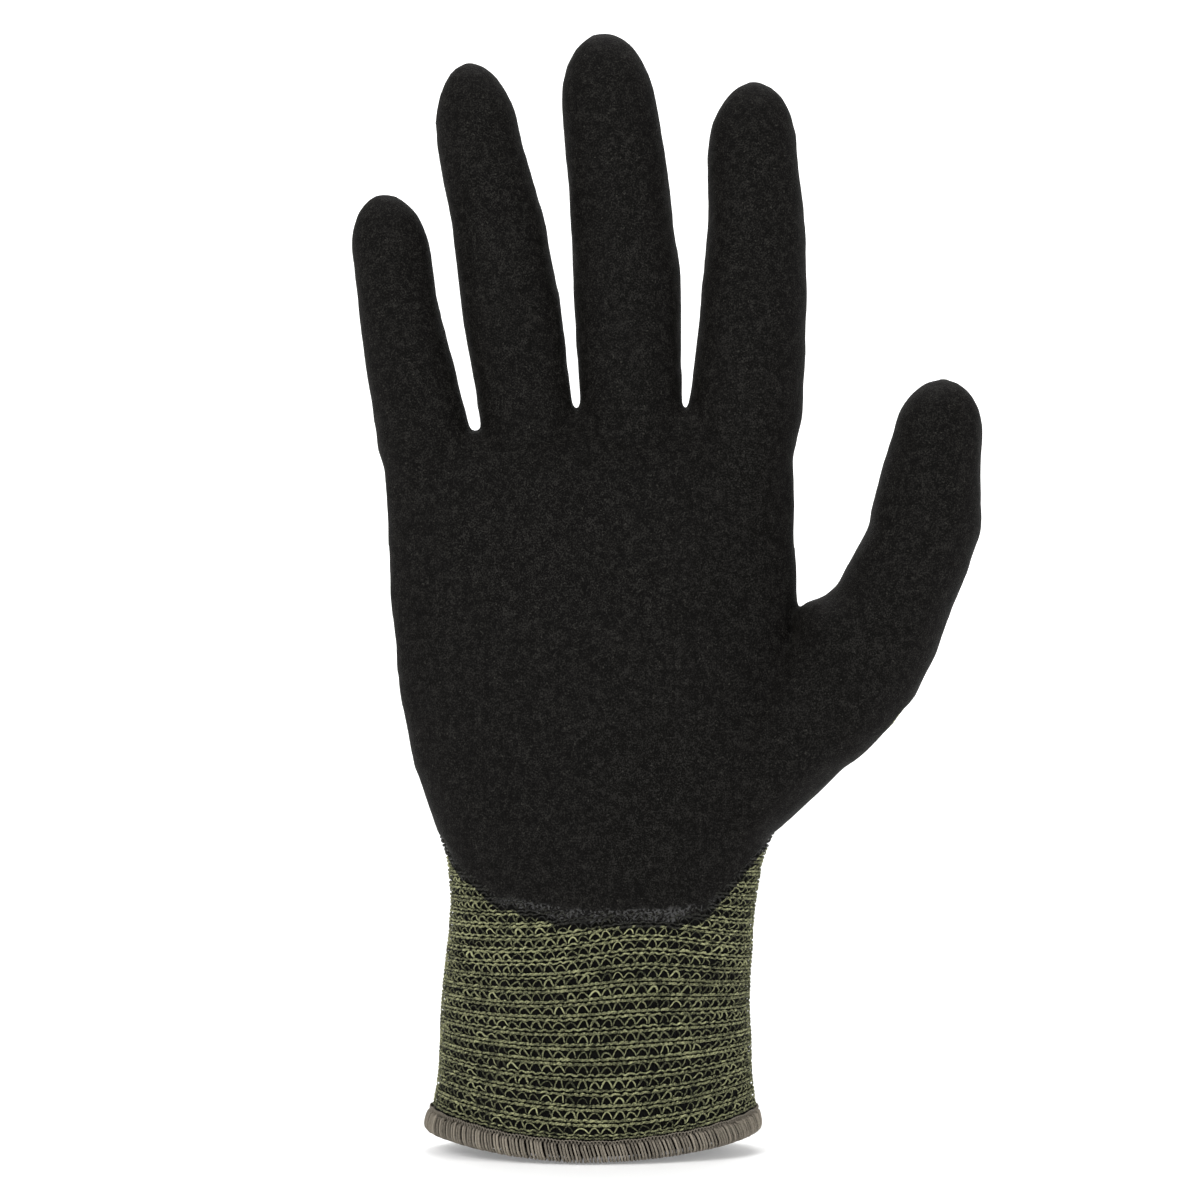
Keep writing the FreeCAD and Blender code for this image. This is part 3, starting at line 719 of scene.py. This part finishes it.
# The yarn's colour follows its streaks, which are also its bump: painted shade between the filaments and
# painted highlight on their crests, over the yarn's own tone.
streaks = between(tree, made.outputs["Streaks"], 0.38, 0.64)
light = calculate(tree, "ADD", calculate(tree, "MULTIPLY", streaks, 0.85),
                  calculate(tree, "MULTIPLY", tone, 0.5))
colour = blended(tree, between(tree, light, 0.1, 0.6), OLIVE_PAINTED_SHADE, OLIVE_MID)
colour = blended(tree, between(tree, light, 0.6, 1.18), colour, OLIVE_BRIGHT)
rusty = between(tree, made.outputs["Clumps"], 0.66, 0.74)
colour = blended(tree, calculate(tree, "MULTIPLY", rusty, 0.45), colour, (0.26, 0.24, 0.17, 1))
soaked = between(tree, calculate(tree, "MULTIPLY_ADD", made.outputs["Clumps"], 0.7, wet), 0.62, 0.9)
colour = blended(tree, calculate(tree, "MULTIPLY", soaked, 0.97), colour, (0.004, 0.0038, 0.0035, 1))
plug(tree, shader, Base_Color=colour, Roughness=0.72,
     Coat_Weight=calculate(tree, "MULTIPLY", soaked, between(tree, made.outputs["Streaks"], 0.5, 0.62)))
shader.inputs["Sheen Weight"].default_value = 0.03
shader.inputs["Specular IOR Level"].default_value = 0.12
shader.inputs["Coat Roughness"].default_value = 0.15
plug(tree, shader, Normal=add(tree, "ShaderNodeBump", [
    ("Strength", 0.8), ("Distance", 0.12 * MM), ("Height", made.outputs["Streaks"])]).outputs[0])

random = np.random.default_rng(7)
ROWS = 23
FIRST_ROW = 5.8
BURIED = 4.5            # yarns further than this under the coating are left out
rows = (FIRST_ROW + ROW * np.arange(ROWS))[:, None]


def wetness(points, reach):
    """How far the foam soaked into the yarns beside the dip's edge: most in the middle of the wrist."""
    creep = 0.7 + 2.0 * smoothstep(30, 23, abs(points[..., 0] / MM - 3))
    return smoothstep(-1, 0.2, reach / creep)


def lay_ply(name, rise, phase, ply):
    """One of the two plies of a thick bar of yarn in every row, scalloped by the arches behind it."""
    steps = WALES * 10
    wale = np.arange(steps)[None, :] / 10 + np.zeros((ROWS, 1))
    rough = random.normal(0, 1, (ROWS, steps))
    rough = (rough + np.roll(rough, 1, axis=1) + np.roll(rough, 2, axis=1) + np.roll(rough, 3, axis=1)) / 2
    scallop = np.cos(4 * math.pi * (wale + phase))
    turn = 2 * math.pi * (wale * 1.2 + ply / 2 + random.random((ROWS, 1))) + 0.25 * rough
    course = rows + rise + 0.05 * scallop + 0.03 * rough + 0.17 * np.sin(turn)
    centres, outs = on_cuff(wale, course, -0.40 + 0.05 * scallop + 0.14 * np.cos(turn))
    reach = coated(centres.reshape(-1, 3)).reshape(wale.shape)
    # Each bar's tone differs at random along it and from row to row; its scallop term is painted light where
    # the bar bulges out between the arches and painted shade where they pinch it.
    light = np.clip(0.6 + 0.25 * rough + 0.1 * scallop + random.normal(0, 0.12, (ROWS, 1)), 0, 1.2)
    return strands(name, centres, outs, 0.185 + 0.02 * scallop + 0.02 * rough, 0.9, True, 3.5, yarn,
                   {"tone": light, "wet": wetness(centres, reach), "hidden": reach > BURIED})


def lay_arches():
    """A row of open arches above the bars: each dives into the cloth at both feet."""
    points = 10
    wale = (np.arange(WALES)[None, :, None] + np.zeros((ROWS, 1, 1)))
    width = 0.45 + 0.05 * random.normal(0, 1, wale.shape)
    tall = 1.38 + 0.2 * random.normal(0, 1, wale.shape)
    lean = 0.1 * random.normal(0, 1, wale.shape)
    across = np.linspace(-1, 1, points)[None, None, :]
    bow = 1 - abs(across) ** 2.1
    course = rows[:, :, None] + 1.72 + tall * bow
    height = -1.0 + 0.78 * np.sin(0.74 * math.pi * bow ** 0.7)
    centres, outs = on_cuff(wale + 0.5 + width * across + lean * bow, course, height)
    centres, outs = (value.reshape(ROWS * WALES, points, 3) for value in (centres, outs))
    reach = coated(centres.reshape(-1, 3)).reshape(ROWS * WALES, points)
    light = np.clip(0.85 + 0.35 * random.normal(0, 1, (ROWS * WALES, 1)) - 0.35 * bow.reshape(1, -1), 0, 1.5)
    radii = (0.145 + 0.03 * random.normal(0, 1, (ROWS * WALES, 1))) * (1 + 0.2 * bow.reshape(1, -1))
    return strands("cuff_arches", centres, outs, np.broadcast_to(radii, reach.shape), 0.9, False, 5.0, yarn,
                   {"tone": np.broadcast_to(light, reach.shape), "wet": wetness(centres, reach),
                    "hidden": reach > BURIED})


bars = [lay_ply(f"cuff_{bar}_bars_{ply}", rise, phase, ply)
        for bar, rise, phase in (("lower", 0.42, 0.0), ("upper", 1.30, 0.25)) for ply in (0, 1)]
for piece in (*bars, lay_arches()):
    hang(piece, "hand")

# ============================================================ The elastic yarns
# Rubber yarns laid into the cuff as it is knitted, on the inside, so that it grips the wrist.

elastic, tree, shader = material_start("elastic")
fibre = add(tree, "ShaderNodeAttribute", attribute_name="fibre").outputs["Vector"]
made = add(tree, "ShaderNodeGroup", node_tree=twisted)
tree.links.new(fibre, made.inputs["Fibre"])
made.inputs["Fineness"].default_value = 5.0
plug(tree, shader, Roughness=0.55,
     Base_Color=blended(tree, made.outputs["Streaks"], (0.015, 0.016, 0.012, 1), (0.07, 0.075, 0.05, 1)))
plug(tree, shader, Normal=add(tree, "ShaderNodeBump", [
    ("Strength", 0.6), ("Distance", 0.1 * MM), ("Height", made.outputs["Streaks"])]).outputs[0])
ELASTICS, ELASTIC_PITCH, FIRST_ELASTIC = 9, 3.3, 7
ELASTIC_DEEP = -2.25    # below the cuff's outside
wale = np.arange(WALES * 4)[None, :] / 4 + np.zeros((ELASTICS, 1))
course = (FIRST_ELASTIC + ELASTIC_PITCH * np.arange(ELASTICS))[:, None] + 0.15 * np.sin(wale * 2)
centres, outs = on_cuff(wale, course, np.full(wale.shape, ELASTIC_DEEP))
rings = strands("elastic_yarns", centres, outs, np.full(wale.shape, 0.32), 1.0, True, 4.0, elastic, {},
                sides=6)
hang(rings, "hand")
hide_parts("cuff_elastic_yarns")

# ============================================================ The overlocked hem
# Grey-brown thread wrapped round the cuff's raw edge on an overlock machine: close slanted strands down the
# outside, round the edge and up the inside, with a chain of little loops along their tops.

hem_thread, tree, shader = material_start("hem_thread")
fibre = add(tree, "ShaderNodeAttribute", attribute_name="fibre").outputs["Vector"]
tone = add(tree, "ShaderNodeAttribute", attribute_name="tone").outputs["Fac"]
made = add(tree, "ShaderNodeGroup", node_tree=twisted)
tree.links.new(fibre, made.inputs["Fibre"])
made.inputs["Fineness"].default_value = 4.5
streaks = between(tree, made.outputs["Streaks"], 0.3, 0.7)
light = calculate(tree, "ADD", calculate(tree, "MULTIPLY", streaks, 0.6),
                  calculate(tree, "MULTIPLY", tone, 0.4))
plug(tree, shader, Roughness=0.75,
     Base_Color=blended(tree, light, (0.030, 0.026, 0.020, 1), (0.34, 0.300, 0.24, 1)))
shader.inputs["Sheen Weight"].default_value = 0.03
shader.inputs["Specular IOR Level"].default_value = 0.15
plug(tree, shader, Normal=add(tree, "ShaderNodeBump", [
    ("Strength", 0.8), ("Distance", 0.12 * MM), ("Height", made.outputs["Streaks"])]).outputs[0])

HEM_STRANDS = 250
HEM_TALL = 4.3
# The way one strand goes: millimetres above the hem's edge, and out from the surface.
WRAP = np.array([(4.5, -0.9), (4.3, -0.1), (3.9, 0.25), (3.0, 0.42), (2.0, 0.5), (1.0, 0.45),
                 (0.25, 0.2), (-0.25, -0.35), (-0.42, -1.1), (-0.2, -1.8), (0.5, -2.3), (1.6, -2.5),
                 (3.0, -2.45), (4.2, -2.0)])
first = np.arange(HEM_STRANDS)[:, None] * WALES / HEM_STRANDS
above = WRAP[:, 0][None, :] + 0.16 * random.normal(0, 1, (HEM_STRANDS, 1)) * (WRAP[:, 0] > 2.5)
slant = -0.34 * (WRAP[:, 0][None, :] / HEM_TALL) * np.sign(WRAP[:, 1] + 1.1)[None, :]
wobble = 0.03 * random.normal(0, 1, (HEM_STRANDS, 1))
proud = WRAP[:, 1][None, :] + 0.06 * random.normal(0, 1, (HEM_STRANDS, 1))
centres, outs = on_cuff(first + slant + wobble, above, proud)
turn_out = np.gradient(WRAP, axis=0)
turn_out /= np.linalg.norm(turn_out, axis=1, keepdims=True)
up = np.array((0, 0, 1.0))
outs = outs * -turn_out[:, 0][None, :, None] + up * turn_out[:, 1][None, :, None]
tones = np.broadcast_to(np.clip(0.45 + 0.35 * random.normal(0, 1, (HEM_STRANDS, 1)), 0, 1), above.shape)
radii = np.full(above.shape, 0.27) + 0.02 * random.normal(0, 1, (HEM_STRANDS, 1))
wraps = strands("hem_strands", centres, outs, radii, 1.15, False, 3.0, hem_thread, {"tone": tones}, sides=6)
steps = HEM_STRANDS * 6
wale = np.arange(steps)[None, :] * WALES / steps
loop_turn = np.arange(steps)[None, :] / 6 * 2 * math.pi
CHAIN_LEVEL = 5.05      # the chain lies along the wraps' tops
centres, outs = on_cuff(wale - 0.34 + 0.09 * np.sin(loop_turn),
                        CHAIN_LEVEL + 0.5 * np.cos(loop_turn) + 0.12 * np.sin(wale * 3.1),
                        0.05 + 0.2 * np.sin(loop_turn + 0.8))
chain = strands("hem_chain", centres, outs, np.full(wale.shape, 0.15), 1.0, True, 5.0, hem_thread,
                {"tone": np.full(wale.shape, 0.3)}, sides=5)
for piece in (wraps, chain):
    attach(piece, "cuff")
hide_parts("hem_overlock_thread")

# ============================================================ The nitrile coating
# The former is dipped, palm down, in foamed black nitrile, which soaks a little way into the knit at its
# edge and cures to a matte sandy skin over the palm, the sides of the fingers and the fingertips.

sandy, taken, given = group_start("sandy_foam", [("Place", "Vector")],
                                  [(name, "Float") for name in ("Height", "Specks", "Patches", "Sparkle")])
fine = grain(sandy, taken["Place"], 3000.0, 3.0, 0.7)
coarse = grain(sandy, taken["Place"], 620.0, 2.0)
sandy.links.new(calculate(sandy, "MULTIPLY_ADD", coarse, 0.3, fine), given["Height"])
cells = add(sandy, "ShaderNodeTexVoronoi", [("Vector", taken["Place"]), ("Scale", 900.0)])
sandy.links.new(calculate(sandy, "MULTIPLY", between(sandy, cells.outputs["Distance"], 0.32, 0.12),
                          between(sandy, fine, 0.5, 0.62)), given["Specks"])
sandy.links.new(grain(sandy, taken["Place"], 60.0, 3.0), given["Patches"])
glints = calculate(sandy, "MULTIPLY_ADD", grain(sandy, taken["Place"], 150.0), 0.5,
                   grain(sandy, taken["Place"], 1900.0))
sandy.links.new(between(sandy, glints, 0.71, 0.86), given["Sparkle"])

nitrile, tree, shader = material_start("nitrile")
place = add(tree, "ShaderNodeTexCoord").outputs["Object"]
made = add(tree, "ShaderNodeGroup", node_tree=sandy)
tree.links.new(place, made.inputs["Place"])
rim = add(tree, "ShaderNodeAttribute", attribute_name="rim").outputs["Fac"]
colour = blended(tree, made.outputs["Patches"], (0.0016, 0.0015, 0.0013, 1), (0.0022, 0.0020, 0.0018, 1))
GRAIN_COLOUR, SPECK_COLOUR = (0.0160, 0.0153, 0.0138, 1), (0.040, 0.038, 0.033, 1)
colour = blended(tree, between(tree, made.outputs["Height"], 0.60, 0.82), colour, GRAIN_COLOUR)
colour = blended(tree, calculate(tree, "MULTIPLY", made.outputs["Specks"], 0.5), colour, SPECK_COLOUR)
plug(tree, shader, Base_Color=colour, Roughness=0.66,
     Coat_Weight=calculate(tree, "MULTIPLY", between(tree, rim, 0.25, 0.8), made.outputs["Sparkle"]))
shader.inputs["Sheen Weight"].default_value = 0.004
shader.inputs["Sheen Roughness"].default_value = 0.45
shader.inputs["Sheen Tint"].default_value = (0.85, 0.68, 0.52, 1)
shader.inputs["Specular IOR Level"].default_value = 0.045
shader.inputs["Coat Roughness"].default_value = 0.18
plug(tree, shader, Normal=add(tree, "ShaderNodeBump", [
    ("Strength", 0.9), ("Distance", 0.2 * MM), ("Height", made.outputs["Height"])]).outputs[0])

skin_points, skin_faces = trimmed(outside, all_faces, coated)
depth = coated(skin_points)
sunk = (COAT - 0.08) * (1 - smoothstep(0, 2.6, depth))
SKIN_THICK = 0.5
skin = cloth("coating", skin_points - outward * (sunk * MM)[:, None], skin_faces, SKIN_THICK, nitrile,
             {"rim": (1 - smoothstep(1.0, 4.5, depth)) * smoothstep(58, 52, skin_points[:, 2] / MM)
              * smoothstep(29, 23, abs(skin_points[:, 0] / MM - 3))})
for stretch, piece in skin.items():
    hang(piece, stretch)
    nodes = [f"{stretch}_coating"]
    if stretch != "hand":
        limb_name, part = stretch.split("_")
        fold = {"lower": "root", "centre": "middle", "end": "tip"}[part]
        if limb_name == "thumb":
            fold = {"lower": "base", "end": "tip"}[part]
        nodes.append(f"{limb_name}_{fold}_fold")
    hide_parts(*nodes)

# ============================================================ The studio
# A pale floor that curves up behind the glove and glows faintly away from it, so that it stays white, three
# big soft lamps, and a camera square to the palm.

FLOOR_HEIGHT = -2.1     # just under the hem's lowest strand
deselect()
bpy.ops.mesh.primitive_plane_add(size=5.6, location=(0, 0, 0))
floor = bpy.context.object
floor.name = "floor"
bpy.ops.object.mode_set(mode="EDIT")
bpy.ops.transform.translate(value=(0, 0, FLOOR_HEIGHT * MM))
bpy.ops.mesh.select_mode(type="EDGE")
bpy.ops.mesh.select_all(action="DESELECT")
bpy.ops.object.mode_set(mode="OBJECT")
for edge in floor.data.edges:
    edge.select = all(floor.data.vertices[index].co.y > 0 for index in edge.vertices)
bpy.ops.object.mode_set(mode="EDIT")
bpy.ops.mesh.extrude_region_move(TRANSFORM_OT_translate={"value": (0, 0, 3)})
bpy.ops.mesh.select_all(action="SELECT")
bpy.ops.mesh.normals_make_consistent(inside=False)
bpy.ops.object.mode_set(mode="OBJECT")
modify(floor, "BEVEL", width=1, segments=20, limit_method="ANGLE")
activate(floor)
bpy.ops.object.shade_smooth()
pale, tree, shader = material_start("pale_floor")
far_off = add(tree, "ShaderNodeVectorMath", [(0, add(tree, "ShaderNodeTexCoord").outputs["Object"])],
              operation="LENGTH").outputs["Value"]
lit = between(tree, far_off, 0.4, 2.4, 0.2, 0.75)
lit_colour = add(tree, "ShaderNodeCombineColor", [(0, lit), (1, lit), (2, lit)]).outputs[0]
plug(tree, shader, Base_Color=(0.86, 0.86, 0.86, 1), Roughness=0.7, Emission_Color=lit_colour)
shader.inputs["Emission Strength"].default_value = 1
floor.data.materials.append(pale)

LOOK_AT = Vector((1.3, 0, 119.9)) * MM
AWAY = 0.9              # metres from the palm to the camera
VIEW_WIDTH = 0.2664     # metres across the view at the palm
deselect()
for name, where, size, power in (("key", (-0.75, -1.0, 0.95), 0.9, 15), ("fill", (0.9, -0.9, 0.35), 1.1, 7),
                                 ("top", (0.1, 0.35, 1.15), 0.9, 9)):
    bpy.ops.object.light_add(type="AREA", location=where)
    lamp = bpy.context.object
    lamp.name = f"{name}_lamp"
    lamp.data.shape = "DISK"
    lamp.data.size = size
    lamp.data.energy = power
    lamp.rotation_euler = (LOOK_AT - Vector(where)).to_track_quat("-Z", "Y").to_euler()
world = bpy.data.worlds.new("studio")
bpy.context.scene.world = world
world.use_nodes = True
tree = world.node_tree
toward = add(tree, "ShaderNodeTexCoord").outputs["Generated"]
sky = add(tree, "ShaderNodeSeparateXYZ", [(0, toward)]).outputs[2]
glow = between(tree, calculate(tree, "ABSOLUTE", sky), 0.2, 0.5, 1.0, 0.4)
tree.links.new(glow, tree.nodes["Background"].inputs["Strength"])
tree.nodes["Background"].inputs["Color"].default_value = (1, 1, 1, 1)

bpy.ops.object.camera_add(location=LOOK_AT - Vector((0, AWAY, 0)), rotation=(math.pi / 2, 0, 0))
camera = bpy.context.object
camera.name = "camera"
camera.data.sensor_width = 36
camera.data.lens = camera.data.sensor_width * AWAY / VIEW_WIDTH
camera.data.dof.use_dof = False
bpy.context.scene.camera = camera
bpy.context.scene.view_settings.view_transform = "Standard"
